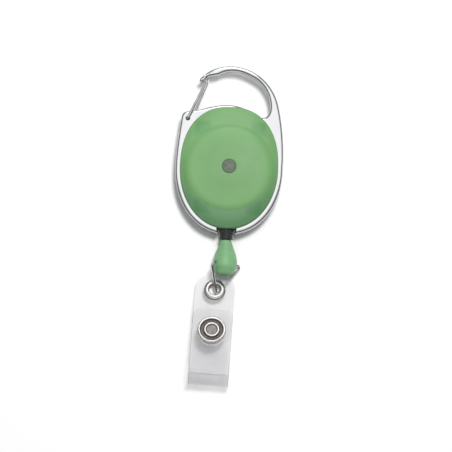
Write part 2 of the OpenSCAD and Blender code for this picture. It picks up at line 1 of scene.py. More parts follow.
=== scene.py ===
"""Retractable badge reel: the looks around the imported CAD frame. Sizes are millimetres, scaled by MM."""
import math

import bmesh
import bpy
from mathutils import Matrix, Vector


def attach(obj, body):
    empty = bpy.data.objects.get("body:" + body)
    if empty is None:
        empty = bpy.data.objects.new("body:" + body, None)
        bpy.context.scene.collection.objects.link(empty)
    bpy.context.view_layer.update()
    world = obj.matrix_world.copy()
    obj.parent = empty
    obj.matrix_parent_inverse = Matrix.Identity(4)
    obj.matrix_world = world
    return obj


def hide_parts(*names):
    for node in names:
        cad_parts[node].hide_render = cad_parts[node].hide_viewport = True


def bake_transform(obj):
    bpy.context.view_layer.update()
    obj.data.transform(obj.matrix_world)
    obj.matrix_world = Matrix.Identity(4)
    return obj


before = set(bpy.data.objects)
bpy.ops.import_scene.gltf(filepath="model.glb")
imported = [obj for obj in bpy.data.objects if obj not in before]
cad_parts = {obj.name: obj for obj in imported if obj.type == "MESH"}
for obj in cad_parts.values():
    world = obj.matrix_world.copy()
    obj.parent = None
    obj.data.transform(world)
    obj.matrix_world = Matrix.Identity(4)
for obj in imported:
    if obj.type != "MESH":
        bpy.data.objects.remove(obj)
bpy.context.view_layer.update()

MM = 0.001

# ---------- sizes that the design repeats ----------

SHELL_HALF = (18.3, 23.0)
FULL_TOP = 2.3
FULL_BOTTOM = 2.05
CORD_Z = 5.6
RING_HALF = (20.0, 24.7)
RING_POWER = 2.1
PLATE_LOW = 3.4
PLATE_HIGH = 7.8
SHELL_TOP = 12.0
DOME_R = 16.7
CHAMBER_R = 15.7
WALL = 1.2
SPIGOT_IN = 1.4
CAVITY_IN = 2.4
GATE_PIN = Vector((-16.1, 18.2, 0))
GATE_HEEL = Vector((-14.6, 19.0, 0))
GATE_NOSE = Vector((-9.3, 33.35, 0))
GATE_TRAVEL = 28
GATE_HOLE_R = 0.57
AXLE_R = 1.5
HEAD_R = 2.6
HEAD_H = 0.7
WIRE_R = 0.5
CORD_D = 0.8
BAR_Y = 35.6
LINK_ROLL = 39.5
LINK_DROP = 23.2
STRAP_W = 14.8
STRAP_T = 0.5
STRAP_END = 5.9
EYE = Vector((-3.38, -45.3, 3.16))
STRAP_YAW = -1.7
SLOPE = 15.7
SNAP_FLAT = 5.3
SNAP_REACH = 16.4
FOLD_REACH = 15.5
LAYER_GAP = 3.5
TAIL_END = 10.3
AROUND = 192


def new_object(name, data):
    """A new object in the scene that holds the data."""
    made = bpy.data.objects.new(name, data)
    bpy.context.scene.collection.objects.link(made)
    return made


# ---------- camera ----------

def make_camera():
    """The photograph's view: a long lens, 81 degrees above the strap's end, leaning 2.4 degrees."""
    lean = math.radians(2.4)
    height = math.radians(81)
    target = Vector((-0.23, -21.2, 3.6)) * MM
    up = Vector((-math.sin(lean), math.cos(lean), 0))
    back = Vector((0, 0, 1)) * math.sin(height) - up * math.cos(height)
    camera_data = bpy.data.cameras.new("camera")
    camera_data.lens = 250
    camera_data.sensor_width = 36
    pixels_wide, mm_per_pixel = 452, 0.372
    distance = pixels_wide * mm_per_pixel * MM * camera_data.lens / camera_data.sensor_width
    camera_data.clip_start = 0.01
    camera_data.clip_end = 10
    camera = new_object("camera", camera_data)
    right = up.cross(back).normalized()
    true_up = back.cross(right)
    turn = Matrix((right, true_up, back)).transposed().to_4x4()
    camera.matrix_world = Matrix.Translation(target + back * distance) @ turn
    bpy.context.scene.camera = camera


make_camera()


# ---------- mesh tools ----------

def add_mesh(name, points, faces, sharp=35, place=None):
    """A smooth-shaded mesh from points in millimetres, sharp where faces meet at more than that angle."""
    mesh = bpy.data.meshes.new(name)
    spots = [Vector(p) for p in points]
    if place is not None:
        spots = [place @ p for p in spots]
    mesh.from_pydata([p * MM for p in spots], [], faces)
    mesh.validate()
    piece = new_object(name, mesh)
    tidy_normals(piece, sharp)
    return piece


def tidy_normals(piece, sharp=35):
    """Turns every face outwards and marks the sharp edges."""
    work = bmesh.new()
    work.from_mesh(piece.data)
    bmesh.ops.recalc_face_normals(work, faces=work.faces)
    work.to_mesh(piece.data)
    work.free()
    piece.data.shade_smooth()
    piece.data.set_sharp_from_angle(angle=math.radians(sharp))


def ring_surface(rings, closed=False):
    """Points and faces of a surface through rings of equal size, capped unless it closes on itself."""
    size = len(rings[0])
    points = [p for ring in rings for p in ring]
    faces = []
    spans = len(rings) if closed else len(rings) - 1
    for i in range(spans):
        low = i * size
        high = ((i + 1) % len(rings)) * size
        for k in range(size):
            n = (k + 1) % size
            faces.append((low + k, low + n, high + n, high + k))
    if not closed:
        faces.append(tuple(range(size - 1, -1, -1)))
        faces.append(tuple(range(len(points) - size, len(points))))
    return points, faces


def soften(profile, radius):
    """A closed profile with its corners rounded, each by at most the radius."""
    result = []
    steps = 3
    share_of_side = 0.45
    for i, corner in enumerate(profile):
        here = Vector(corner)
        before = Vector(profile[i - 1]) - here
        after = Vector(profile[(i + 1) % len(profile)]) - here
        reach = min(radius, before.length * share_of_side, after.length * share_of_side)
        start = here + before.normalized() * reach
        end = here + after.normalized() * reach
        for s in range(steps + 1):
            t = s / steps
            result.append(tuple(start * (1 - t) ** 2 + here * 2 * t * (1 - t) + end * t * t))
    return result


def lathe(name, profile, place=None, round_by=0.08, around=96, sharp=40):
    """A closed profile of (radius, height) turned about the local Z axis."""
    section = soften(profile, round_by) if round_by else profile
    rings = []
    for k in range(around):
        angle = 2 * math.pi * k / around
        rings.append([(r * math.cos(angle), r * math.sin(angle), z) for r, z in section])
    points, faces = ring_surface(rings, closed=True)
    piece = add_mesh(name, points, faces, sharp, place)
    merge_points(piece)
    return piece


def merge_points(piece):
    """Joins points that coincide, such as those on a lathe's axis."""
    distance = 0.0005 * MM
    work = bmesh.new()
    work.from_mesh(piece.data)
    bmesh.ops.remove_doubles(work, verts=work.verts, dist=distance)
    bmesh.ops.dissolve_degenerate(work, edges=work.edges, dist=distance)
    work.to_mesh(piece.data)
    work.free()


def bend_corners(corners, radii, closed=False, steps=8):
    """A path through 3-D corners, each rounded with a true arc of its radius."""
    path = []
    count = len(corners)
    for i, corner in enumerate(corners):
        if not closed and i in (0, count - 1):
            path.append(corner.copy())
            continue
        before = (corners[i - 1] - corner).normalized()
        after = (corners[(i + 1) % count] - corner).normalized()
        half = before.angle(after) / 2
        reach = radii[i] / math.tan(half)
        middle = (before + after).normalized()
        centre = corner + middle * (radii[i] / math.sin(half))
        start = corner + before * reach - centre
        end = corner + after * reach - centre
        sweep = start.angle(end)
        for s in range(steps + 1):
            t = s / steps
            blend = start * (math.sin((1 - t) * sweep)) + end * math.sin(t * sweep)
            path.append(centre + blend / math.sin(sweep))
    return path


def tube(name, path, radius, closed=False, sides=20, place=None):
    """A round wire along a path, its frame carried along without twist."""
    count = len(path)
    turns = [2 * math.pi * k / sides for k in range(sides)]
    rings = []
    across = None
    for i, spot in enumerate(path):
        if closed:
            along = (path[(i + 1) % count] - path[i - 1]).normalized()
        else:
            along = (path[min(i + 1, count - 1)] - path[max(i - 1, 0)]).normalized()
        if across is None:
            across = along.orthogonal()
        across = (across - along * across.dot(along)).normalized()
        other = along.cross(across)
        rings.append([spot + (across * math.cos(t) + other * math.sin(t)) * radius for t in turns])
    points, faces = ring_surface(rings, closed)
    return add_mesh(name, points, faces, 60, place)


def subtract(piece, *cutters):
    """Cuts the cutters out of a piece and removes them."""
    for cutter in cutters:
        cut = piece.modifiers.new("cut", "BOOLEAN")
        cut.operation = "DIFFERENCE"
        cut.solver = "EXACT"
        cut.object = cutter
        apply_modifiers(piece)
        bpy.data.objects.remove(cutter)
    tidy_normals(piece)


def apply_modifiers(piece):
    """Replaces a piece's mesh by what its modifiers make of it."""
    bpy.context.view_layer.update()
    graph = bpy.context.evaluated_depsgraph_get()
    mesh = bpy.data.meshes.new_from_object(piece.evaluated_get(graph))
    piece.modifiers.clear()
    piece.data = mesh


def bezier(a, b, c, d, count):
    """A cubic curve without its last point."""
    points = []
    for i in range(count):
        t = i / count
        s = 1 - t
        points.append(tuple(
            s ** 3 * p + 3 * s * s * t * q + 3 * s * t * t * r + t ** 3 * u
            for p, q, r, u in zip(a, b, c, d)
        ))
    return points


def curves(start, *spans):
    """Cubic curves end to end, each given by its two handles, its end and its count of points."""
    points = []
    for b, c, d, count in spans:
        points += bezier(start, b, c, d, count)
        start = d
    return points


def along_cord():
    """Turns a lathe's Z axis onto the cord's axis, so its height is a distance along the cord."""
    return Matrix.Translation((0, 0, CORD_Z)) @ Matrix.Rotation(math.radians(90), 4, "X")


def at_bar():
    """The place of the link's top bar, with X along the bar and Y towards the hook."""
    return Matrix.Translation((0, -BAR_Y, CORD_Z)) @ Matrix.Rotation(math.radians(LINK_ROLL), 4, "Y")


# ---------- materials ----------

class Look:
    """A node material with its colour, roughness and bump varied by noise in the object's own space."""

    def __init__(self, name, color, roughness, metallic=0.0):
        self.material = bpy.data.materials.new(name)
        self.material.use_nodes = True
        self.nodes = self.material.node_tree.nodes
        self.links = self.material.node_tree.links
        self.shader = self.nodes["Principled BSDF"]
        self.shader.inputs["Metallic"].default_value = metallic
        self.shader.inputs["Base Color"].default_value = (*color, 1)
        self.shader.inputs["Roughness"].default_value = roughness
        self.color = color
        self.place = self.nodes.new("ShaderNodeTexCoord").outputs["Object"]
        self.height = None

    def set(self, **values):
        """Sets the shader's own sockets, with underscores for the spaces in their names."""
        for name, value in values.items():
            self.shader.inputs[name.replace("_", " ")].default_value = value

    def noise(self, scale, detail=3, stretch=(1, 1, 1)):
        """Noise over the object, from 0 to 1, its scale in turns per metre."""
        spread = self.nodes.new("ShaderNodeMapping")
        spread.inputs["Scale"].default_value = stretch
        self.links.new(self.place, spread.inputs["Vector"])
        texture = self.nodes.new("ShaderNodeTexNoise")
        texture.inputs["Scale"].default_value = scale
        texture.inputs["Detail"].default_value = detail
        self.links.new(spread.outputs["Vector"], texture.inputs["Vector"])
        return texture.outputs["Fac"]

    def remap(self, source, low, high, start=0.3, end=0.7):
        """Runs from low to high as the source goes from start to end, and stays there beyond."""
        span = self.nodes.new("ShaderNodeMapRange")
        span.inputs["From Min"].default_value = start
        span.inputs["From Max"].default_value = end
        span.inputs["To Min"].default_value = low
        span.inputs["To Max"].default_value = high
        self.links.new(source, span.inputs["Value"])
        return span.outputs["Result"]

    def mottle(self, source, darkest, brightest=1.0):
        """Colour that goes from darkest to brightest times the base colour with the source."""
        mix = self.nodes.new("ShaderNodeMix")
        mix.data_type = "RGBA"
        mix.inputs["A"].default_value = (*[c * darkest for c in self.color], 1)
        mix.inputs["B"].default_value = (*[min(c * brightest, 1) for c in self.color], 1)
        self.links.new(self.remap(source, 0, 1), mix.inputs["Factor"])
        self.links.new(mix.outputs["Result"], self.shader.inputs["Base Color"])

    def spot(self, middle=(0, 0), square=False):
        """Distance in millimetres from an upright axis, round or square."""
        offset = self.nodes.new("ShaderNodeVectorMath")
        offset.operation = "MULTIPLY_ADD"
        offset.inputs[1].default_value = (1 / MM, 1 / MM, 0)
        offset.inputs[2].default_value = (-middle[0], -middle[1], 0)
        self.links.new(self.place, offset.inputs[0])
        if not square:
            length = self.nodes.new("ShaderNodeVectorMath")
            length.operation = "LENGTH"
            self.links.new(offset.outputs["Vector"], length.inputs[0])
            return length.outputs["Value"]
        size = self.nodes.new("ShaderNodeVectorMath")
        size.operation = "ABSOLUTE"
        self.links.new(offset.outputs["Vector"], size.inputs[0])
        parts = self.nodes.new("ShaderNodeSeparateXYZ")
        self.links.new(size.outputs["Vector"], parts.inputs["Vector"])
        return self.math("MAXIMUM", parts.outputs["X"], parts.outputs["Y"])

    def upright(self):
        """How far the surface faces straight up or down, from 0 to 1."""
        parts = self.nodes.new("ShaderNodeSeparateXYZ")
        self.links.new(self.nodes["Texture Coordinate"].outputs["Normal"], parts.inputs["Vector"])
        return self.math("MULTIPLY", parts.outputs["Z"], parts.outputs["Z"])

    def math(self, operation, a, b):
        """A math node on two sources, each a socket or a number."""
        node = self.nodes.new("ShaderNodeMath")
        node.operation = operation
        for source, socket in ((a, node.inputs[0]), (b, node.inputs[1])):
            if isinstance(source, (int, float)):
                socket.default_value = source
            else:
                self.links.new(source, socket)
        return node.outputs["Value"]

    def tint(self, share, color):
        """Multiplies the base colour by a colour, as far as the share goes."""
        mix = self.nodes.new("ShaderNodeMix")
        mix.data_type = "RGBA"
        mix.blend_type = "MULTIPLY"
        self.links.new(share, mix.inputs["Factor"])
        self.links.new(self.shader.inputs["Base Color"].links[0].from_socket, mix.inputs["A"])
        mix.inputs["B"].default_value = (*color, 1)
        self.links.new(mix.outputs["Result"], self.shader.inputs["Base Color"])

    def rough(self, source, low, high):
        """Roughness that goes from low to high with the source."""
        self.links.new(self.remap(source, low, high), self.shader.inputs["Roughness"])

    def bump(self, source, strength, depth):
        """Adds a bump of that depth in millimetres over the bumps that are there."""
        bump = self.nodes.new("ShaderNodeBump")
        bump.inputs["Strength"].default_value = strength
        bump.inputs["Distance"].default_value = depth * MM
        self.links.new(source, bump.inputs["Height"])
        if self.height is not None:
            self.links.new(self.height, bump.inputs["Normal"])
        self.height = bump.outputs["Normal"]
        self.links.new(self.height, self.shader.inputs["Normal"])

    def surface(self, mottled, roughened, bumped):
        """Mottle, roughness and bump, each given by its noise's scale and detail and its two ends."""
        for change, (scale, detail, *ends) in (
            (self.mottle, mottled), (self.rough, roughened), (self.bump, bumped),
        ):
            change(self.noise(scale, detail), *ends)
        return self.material


def chrome():
    look = Look("chrome", (0.93, 0.935, 0.95), 0.08, 1.0)
    look.mottle(look.noise(90, 4), 0.93)
    # Painted shade: faces that turn away from straight up, the side walls and steep roundings, are darkened
    # to stand in for their dark reflections.
    look.tint(look.remap(look.upright(), 1, 0, 0.1, 0.8), (0.46, 0.46, 0.47))
    look.rough(look.noise(700, 5, (1, 3, 1)), 0.05, 0.14)
    look.bump(look.noise(120, 2), 0.25, 0.05)
    look.bump(look.noise(2600, 3), 0.1, 0.01)
    return look.material


def wire():
    look = Look("wire", (0.88, 0.88, 0.89), 0.12, 1.0)
    look.mottle(look.noise(400, 4), 0.75)
    look.rough(look.noise(1500, 3, (1, 1, 4)), 0.06, 0.14)
    look.bump(look.noise(3500, 2), 0.1, 0.008)
    return look.material


def green_shell():
    """Translucent shell with painted light and shade: a darker middle leaves a lighter ring where the white
    reel would show through, and painted shade darkens the right side, the rim's lower end and four patches
    on the rim.
    """
    look = Look("green_shell", (0.214, 0.437, 0.175), 0.38)
    look.mottle(look.noise(60, 3), 0.95, 1.03)
    radius = look.spot()
    # Painted light: the middle is darkened, so the ring over the white reel's flanges looks lighter, as
    # light through the shell would make it.
    look.tint(look.remap(radius, 1, 0, 8, 14), (0.87, 0.9, 0.88))
    along = look.nodes.new("ShaderNodeSeparateXYZ")
    look.links.new(look.place, along.inputs["Vector"])
    # Painted shade: the right side a little darker than the left.
    look.tint(look.remap(along.outputs["X"], 0, 1, -0.012, 0.012), (0.88, 0.9, 0.88))
    # Painted shade: the rim past the dome is darkened, fully at the lower end and only a little at the top.
    low_end_shade = look.remap(along.outputs["Y"], 1, 0.15, -0.013, 0.003)
    beyond = look.remap(radius, 0, 1, 15.4, 17.2)
    look.tint(look.math("MULTIPLY", beyond, low_end_shade), (0.54, 0.61, 0.66))
    # Painted shade: darker square patches on the rim, standing for inner parts seen through the shell.
    for x, y in ((-10.3, 14.4), (10.3, 14.4), (-9.6, -14.8), (9.6, -14.8)):
        patch = look.remap(look.spot((x, y), True), 1, 0, 2, 3.4)
        look.tint(look.math("MULTIPLY", beyond, patch), (0.72, 0.87, 0.82))
    look.rough(look.noise(350, 4), 0.34, 0.42)
    look.bump(look.noise(220, 2), 0.06, 0.03)
    look.set(Transmission_Weight=0.15, IOR=1.45, Coat_Weight=0.15, Coat_Roughness=0.12)
    return look.material


def green_fitting():
    look = Look("green_fitting", (0.235, 0.49, 0.24), 0.42)
    look.mottle(look.noise(160, 3, (1, 4, 1)), 0.9, 1.06)
    look.rough(look.noise(500, 3), 0.36, 0.48)
    look.bump(look.noise(500, 2, (1, 3, 1)), 0.12, 0.02)
    look.set(Transmission_Weight=0.2, IOR=1.45, Coat_Weight=0.12, Coat_Roughness=0.15)
    return look.material


def rivet_steel():
    look = Look("rivet_steel", (0.15, 0.19, 0.145), 0.5, 0.3)
    return look.surface((700, 5, 0.8, 1.15), (1200, 3, 0.4, 0.6), (1600, 4, 0.4, 0.02))


def nickel():
    look = Look("nickel", (0.66, 0.645, 0.62), 0.24, 1.0)
    return look.surface((300, 4, 0.8, 1.05), (1300, 4, 0.18, 0.32), (2400, 3, 0.2, 0.015))


def shaded_nickel(name="shaded_nickel", color=(0.2, 0.185, 0.175)):
    """Nickel darkened to paint shade: the dark reflections in the snap's and the eyelet's hollows, and,
    lighter, in the snap cap's middle.
    """
    look = Look(name, color, 0.42, 0.9)
    return look.surface((500, 4, 0.75, 1.15), (1500, 4, 0.34, 0.55), (1900, 3, 0.25, 0.02))


def reel_white():
    look = Look("reel_white", (0.82, 0.84, 0.8), 0.45)
    return look.surface((120, 3, 0.93), (600, 3, 0.38, 0.55), (1500, 3, 0.15, 0.015))


def spring_steel():
    look = Look("spring_steel", (0.33, 0.35, 0.4), 0.3, 1.0)
    look.mottle(look.noise(250, 3), 0.7)
    look.rough(look.noise(900, 3), 0.2, 0.4)
    look.bump(look.noise(2200, 2, (1, 1, 0.2)), 0.2, 0.01)
    return look.material


def braid():
    """Nylon cord: two slanting sets of ribs."""
    look = Look("cord", (0.84, 0.84, 0.81), 0.75)
    look.mottle(look.noise(1800, 3), 0.82)
    look.rough(look.noise(900, 2), 0.65, 0.85)
    for turn in (45, -45):
        bands = look.nodes.new("ShaderNodeTexWave")
        bands.inputs["Scale"].default_value = 900
        bands.inputs["Distortion"].default_value = 1.5
        spin = look.nodes.new("ShaderNodeMapping")
        spin.inputs["Rotation"].default_value = (0, 0, math.radians(turn))
        look.links.new(look.place, spin.inputs["Vector"])
        look.links.new(spin.outputs["Vector"], bands.inputs["Vector"])
        look.bump(bands.outputs["Fac"], 0.5, 0.05)
    look.set(Sheen_Weight=0.2)
    return look.material


def black_plastic():
    look = Look("black_plastic", (0.022, 0.025, 0.024), 0.38)
    return look.surface((500, 3, 0.7, 1.4), (900, 3, 0.3, 0.48), (2000, 3, 0.25, 0.015))


def vinyl(name="vinyl", clearest=0.12, haziest=0.2):
    """Clear vinyl, faintly wavy, a little hazy in clouds."""
    look = Look(name, (0.63, 0.63, 0.66), 0.16)
    look.mottle(look.noise(70, 3, (1, 0.5, 1)), 0.9, 1.06)
    look.rough(look.noise(260, 3), 0.12, 0.22)
    look.bump(look.noise(110, 2, (1, 0.6, 1)), 0.3, 0.12)
    look.links.new(
        look.remap(look.noise(90, 3, (1, 0.6, 1)), clearest, haziest), look.shader.inputs["Alpha"]
    )
    look.set(IOR=1.52, Coat_Weight=0.3, Coat_Roughness=0.1)
    return look.material


def vinyl_edge():
    """The strap's cut edges, where the light is lost in the vinyl."""
    look = Look("vinyl_edge", (0.34, 0.34, 0.36), 0.3)
    look.mottle(look.noise(200, 3), 0.85, 1.15)
    look.rough(look.noise(600, 3), 0.25, 0.4)
    look.links.new(look.remap(look.noise(300, 2), 0.6, 0.75), look.shader.inputs["Alpha"])
    return look.material


MATERIALS = {
    "chrome": chrome(), "wire": wire(), "green_shell": green_shell(), "green_fitting": green_fitting(),
    "rivet_steel": rivet_steel(), "nickel": nickel(), "shaded_nickel": shaded_nickel(),
    "reel_white": reel_white(), "spring_steel": spring_steel(), "cord": braid(),
    "black_plastic": black_plastic(), "vinyl": vinyl(), "vinyl_edge": vinyl_edge(),
    "vinyl_clear": vinyl("vinyl_clear", 0.05, 0.09),
    # Painted shade, lighter, for the snap cap's hollow middle.
    "centre_shaded_nickel": shaded_nickel("centre_shaded_nickel", (0.42, 0.385, 0.37)),
}


def settle(piece, body, slot, *nodes):
    """Gives a piece its material and slot, hides the CAD nodes that it stands for, and lets it ride."""
    piece.data.materials.clear()
    piece.data.materials.append(MATERIALS[slot])
    if nodes:
        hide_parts(*nodes)
    if body:
        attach(piece, body)
    return piece


def shade_faces(piece, place, slot, chosen):
    """Another material, a darker one that paints shade, on the faces whose middle, in the piece's own
    place, is chosen.
    """
    piece.data.materials.append(MATERIALS[slot])
    index = len(piece.data.materials) - 1
    back = place.inverted()
    for face in piece.data.polygons:
        if chosen(back @ (face.center / MM)):
            face.material_index = index


def shade_hollow(piece, place, inner, outer):
    """Painted shade, the darkened nickel, on the faces of a turned piece between two radii."""
    shade_faces(piece, place, "shaded_nickel", lambda spot: inner < math.hypot(spot.x, spot.y) < outer)


def dark_edges(piece):
    """Painted shade on a layer's two long cut edges, where the light is lost in the vinyl."""
    shade_faces(piece, at_strap(), "vinyl_edge", lambda spot: abs(spot.x) > STRAP_W / 2 - 0.12)


def dress(node, slot):
    """A better material on a CAD node that stays."""
    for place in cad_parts[node].material_slots:
        place.material = MATERIALS[slot]


# ---------- carabiner frame ----------

def power(value, e):
    """A power that keeps the value's sign."""
    return math.copysign(abs(value) ** e, value)


def oval(inset):
    """The housing's outline, inset: an oval with a fuller upper half."""
    points = []
    for i in range(AROUND):
        t = 2 * math.pi * i / AROUND
        e = 2 / (FULL_TOP if math.sin(t) > 0 else FULL_BOTTOM)
        points.append((
            (SHELL_HALF[0] - inset) * power(math.cos(t), e),
            (SHELL_HALF[1] - inset) * power(math.sin(t), e),
        ))
    return points


def frame_outline():
    """One closed line: the ring and hook outside, the eye, then back round the inner oval to the slot."""
    half_w, ring_bottom = RING_HALF
    hook_top, slot_half = 38.8, 3.25
    steps = 64
    e = 2 / RING_POWER
    turns = [math.pi + math.pi * i / steps for i in range(steps + 1)]
    ring = [(half_w * power(math.cos(t), e), ring_bottom * power(math.sin(t), e)) for t in turns]
    lowest = ring[steps // 2][1]
    hook = curves(
        (half_w, 1),
        ((half_w + 0.3, 8), (half_w - 0.7, 17), (half_w - 2.3, 23.5), 16),
        ((half_w - 4.1, 32), (8.9, hook_top), (-0.7, hook_top), 28),
        ((-4.2, hook_top), (-7.9, hook_top - 1.3), (-10, hook_top - 3.1), 12),
        ((-11.4, hook_top - 4.3), (-13.2, 33.2), (-12.1, 32.4), 12),
    )
    nose = [(-11.7, 32.3), (-10.1, 33.2), (-9.9, 34.05), (-8.6, 34.7)]
    eye = curves(
        (-5.3, 35.4),
        ((-4, 36.3), (-2.2, 36.95), (0.3, 36.95), 12),
        ((2.8, 36.95), (5.3, 36), (7.8, 34.7), 12),
        ((12.2, 32.5), (14.6, 27.5), (14.4, 23), 20),
        ((14.2, 20.3), (12.4, 19), (10.8, 19.85), 14),
        ((8.5, 21.2), (4.5, 24), (-1.2, 23.95), 18),
        ((-7, 23.9), (-11, 21.6), (-16.2, 21), 18),
        ((-17.8, 20.8), (-18.4, 20.2), (-18.6, 18.4), 10),
        ((-19.2, 13), (-half_w, 6), (-half_w, 1), 14),
    )
    inner = oval(SPIGOT_IN - 0.05)
    half = AROUND * 3 // 4
    inner = inner[half:] + inner[:half]
    right = [(slot_half, lowest)] + [p for p in ring if p[0] > slot_half]
    left = [p for p in ring if p[0] < -slot_half] + [(-slot_half, lowest)]
    inside = [p for p in reversed(inner) if p[1] > 0 or abs(p[0]) > slot_half]
    low = min(p[1] for p in inside)
    return right + hook + nose + eye + left + [(-slot_half, low)] + inside + [(slot_half, low)]


def round_low_ring(piece, edge):
    """Widens the rounding of the ring's outer front edge towards the bottom, to almost twice its width."""
    (half_w, half_h), e = RING_HALF, RING_POWER
    starts_y, full_y, widening = -2, -15, 0.95
    for vertex in piece.data.vertices:
        x, y, z = vertex.co / MM
        share = min(max((starts_y - y) / (starts_y - full_y), 0), 1)
        reach = ((abs(x) / half_w) ** e + (abs(y) / half_h) ** e) ** (1 / e)
        depth = (1 - reach) * math.hypot(x, y)
        if z < CORD_Z or share == 0 or not 0.005 < depth < edge + 0.12:
            continue
        slope = Vector((power(x / half_w, e - 1) / half_w, power(y / half_h, e - 1) / half_h, 0))
        vertex.co -= slope.normalized() * depth * share * share * (3 - 2 * share) * widening * MM


def carabiner_frame():
    """The die-cast plate, with rounded edges, its gate holes cut."""
    edge = 0.88
    line = bpy.data.curves.new("carabiner", "CURVE")
    line.dimensions = "2D"
    line.fill_mode = "BOTH"
    line.extrude = ((PLATE_HIGH - PLATE_LOW) / 2 - edge) * MM
    line.bevel_depth = edge * MM
    line.bevel_resolution = 4
    line.offset = -edge * MM
    outline = frame_outline()
    spline = line.splines.new("POLY")
    spline.points.add(len(outline) - 1)
    for point, (x, y) in zip(spline.points, outline):
        point.co = (x * MM, y * MM, 0, 1)
    spline.use_cyclic_u = True
    shape = new_object("shape", line)
    bpy.context.view_layer.update()
    graph = bpy.context.evaluated_depsgraph_get()
    mesh = bpy.data.meshes.new_from_object(shape.evaluated_get(graph))
    bpy.data.objects.remove(shape)
    mesh.name = "carabiner"
    mesh.transform(Matrix.Translation((0, 0, CORD_Z * MM)))
    piece = new_object("carabiner", mesh)
    merge_points(piece)
    round_low_ring(piece, edge)
    subtract(piece, *gate_holes())
    settle(piece, "housing", "chrome", "carabiner_frame")


def gate_holes():
    """Cutters for the front pin's countersunk hole and the rear pin's arc slot."""
    front = lathe("cut_front", [
        (0, PLATE_HIGH - 2.2), (GATE_HOLE_R, PLATE_HIGH - 2.2), (GATE_HOLE_R, PLATE_HIGH - 0.4),
        (0.95, PLATE_HIGH + 0.1), (0.95, PLATE_HIGH + 1), (0, PLATE_HIGH + 1),
    ], Matrix.Translation(GATE_PIN), 0, 48)
    reach = GATE_HEEL - GATE_PIN
    start = math.atan2(reach.y, reach.x)
    low = Vector((0, 0, PLATE_LOW - 1))
    high = Vector((0, 0, PLATE_LOW + 1.7))
    spare = 1
    steps = 12
    rings = []
    for i in range(steps + 1):
        angle = start + math.radians(spare - (GATE_TRAVEL + 2 * spare) * i / steps)
        outwards = Vector((math.cos(angle), math.sin(angle), 0))
        spot = GATE_PIN + outwards * reach.length
        away = outwards * GATE_HOLE_R
        rings.append([spot - away + low, spot + away + low, spot + away + high, spot - away + high])
    points, faces = ring_surface(rings)
    return front, add_mesh("cut_slot", points, faces)


def wire_gate():
    """One wire: a pin and leg on the front, a loop across the nose, a leg and pin behind."""
    wire_r, off_plate = 0.52, 0.65
    front_z = PLATE_HIGH + off_plate
    rear_z = PLATE_LOW - off_plate
    corners = [
        GATE_PIN + Vector((0, 0, PLATE_HIGH - 2)), GATE_PIN + Vector((0, 0, front_z)),
        GATE_NOSE + Vector((0, 0, front_z)), GATE_NOSE + Vector((0, 0, rear_z)),
        GATE_HEEL + Vector((0, 0, rear_z)), GATE_HEEL + Vector((0, 0, PLATE_LOW + 1.5)),
    ]
    path = bend_corners(corners, [0, 0.7, 1.2, 1.2, 0.7, 0])
    settle(tube("gate_wire", path, wire_r), "gate", "wire", "wire_gate")


# ---------- housing ----------

def inset_of(x, y):
    """How far inside the housing's outline a point lies."""
    n = FULL_TOP if y > 0 else FULL_BOTTOM
    low, high = 0.0, SHELL_HALF[0] - 0.01
    for _ in range(24):
        middle = (low + high) / 2
        share = (abs(x) / (SHELL_HALF[0] - middle)) ** n + (abs(y) / (SHELL_HALF[1] - middle)) ** n
        low, high = (middle, high) if share < 1 else (low, middle)
    return low


def flat_ring(points, z):
    return [(x, y, z) for x, y in points]


def round_ring(r, height, base):
    """A circle at the same angles as the oval's points, its height a function of radius and place."""
    ring = []
    for x, y in base:
        long = math.hypot(x, y)
        spot = (x * r / long, y * r / long)
        ring.append((*spot, height(r, spot)))
    return ring


def between(outer, r, share, height):
    """A ring part of the way from the oval to a circle."""
    ring = []
    for x, y in outer:
        long = math.hypot(x, y)
        spot = (x + (x * r / long - x) * share, y + (y * r / long - y) * share)
        ring.append((*spot, height(spot)))
    return ring


def rim_height(spot):
    """Top of the oval rim: a rounded edge, then a gentle slope up to a flat."""
    d = inset_of(*spot)
    start_z, edge, slope_width, rise = 8.5, 0.85, 3.6, 0.75
    if d < edge:
        return start_z + edge * math.sqrt(max(0, 1 - (1 - d / edge) ** 2))
    slope = min((d - edge) / slope_width, 1)
    return start_z + edge + rise * slope * (2 - slope)


def dome_height(r):
    """Top of the round dome, which falls away gently past its shoulder."""
    shoulder, shoulder_z, fall = 13.9, 11.1, 0.13
    if r > shoulder:
        slope = 2.2 * (SHELL_TOP - shoulder_z) / shoulder
        return shoulder_z - slope * (r - shoulder) - fall * (r - shoulder) ** 2
    return shoulder_z + (SHELL_TOP - shoulder_z) * (1 - (r / shoulder) ** 2.2)


def dome_top(r, spot):
    """The dome where it stands above the rim, eased into it over a wide foot."""
    low = rim_height(spot)
    high = dome_height(r)
    ease = 0.6
    gap = high - low
    if gap > ease:
        return high
    return low + (gap + ease) ** 2 / (4 * ease) if gap > -ease else low


def rim_top(spot):
    """The front's height at a spot, dome included."""
    return dome_top(math.hypot(*spot), spot)


def inner_dome(r):
    """The chamber's roof, a wall's thickness under the dome."""
    return dome_height(min(r * DOME_R / CHAMBER_R, DOME_R)) - WALL


